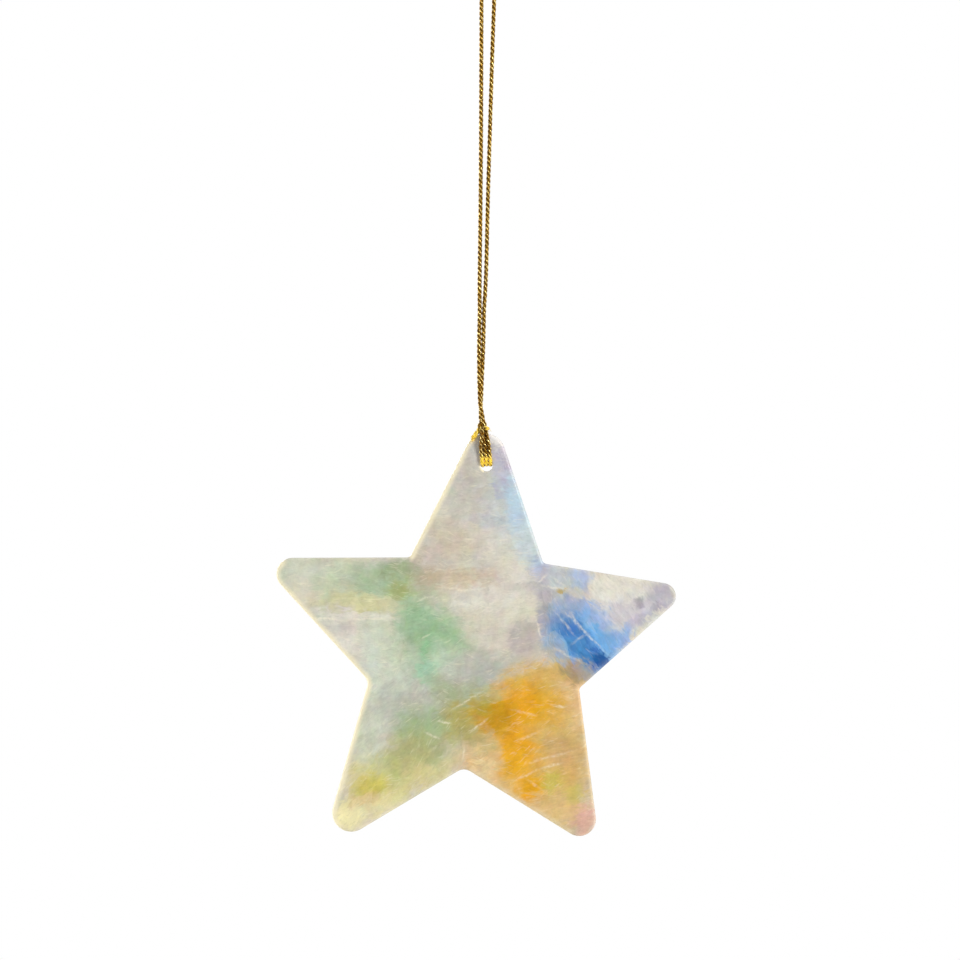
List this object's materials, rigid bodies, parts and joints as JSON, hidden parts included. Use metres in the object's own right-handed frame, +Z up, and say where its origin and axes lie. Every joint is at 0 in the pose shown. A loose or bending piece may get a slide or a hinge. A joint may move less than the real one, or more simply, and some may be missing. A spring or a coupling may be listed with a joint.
{
  "type": "capiz star ornament",
  "caption": "Flat hand-cut star of pieced, dyed capiz shell with rounded points, hung by a gold cord loop that is hitched and knotted through a hole near its top point.",
  "frame": {"origin": "inside top of the hanging loop, where a hook bears", "axes": "+Z up along the hanging cord, -Y out of the coloured face, +X to the viewer's right"},
  "size_m": [0.1025, 0.0074, 0.225],
  "materials": {
    "gold_cord": "twisted metallic thread, glinting",
    "lilac_shell": "dyed pearly shell under clear lacquer",
    "blue_shell": "dyed pearly shell under clear lacquer",
    "amber_shell": "dyed pearly shell under clear lacquer",
    "olive_shell": "dyed pearly shell under clear lacquer",
    "sage_shell": "dyed pearly shell under clear lacquer",
    "pearl_shell": "dyed pearly shell under clear lacquer",
    "bond": "clear set resin"
  },
  "bodies": {
    "cord": {"cord_loop": "gold_cord"},
    "neck": {"cord_neck": "gold_cord"},
    "knot": {"knot": "gold_cord", "long_tail": "gold_cord", "short_tail": "gold_cord"},
    "star": {"hitch_winding": "gold_cord", "front_shell_top": "lilac_shell", "front_shell_right": "blue_shell", "front_shell_lower_right": "amber_shell", "front_shell_lower_left": "olive_shell", "front_shell_left": "sage_shell", "front_shell_middle": "pearl_shell", "back_shell_top": "lilac_shell", "back_shell_right": "blue_shell", "back_shell_lower_right": "amber_shell", "back_shell_lower_left": "olive_shell", "back_shell_left": "sage_shell", "bond_film": "bond"}
  },
  "joints": [
    {"name": "cord_twist", "type": "hinge", "parent": "cord", "child": "neck", "pos_m": [0, 0, -0.08965], "axis": [0, 0, 1], "range_deg": [-180, 180]},
    {"name": "star_swing", "type": "hinge", "parent": "neck", "child": "knot", "pos_m": [0.00077, 0, -0.1186], "axis": [0, 1, 0], "range_deg": [-75, 75]},
    {"name": "star_tip", "type": "hinge", "parent": "knot", "child": "star", "pos_m": [0.00077, 0, -0.1186], "axis": [1, 0, 0], "range_deg": [-60, 60]}
  ]
}
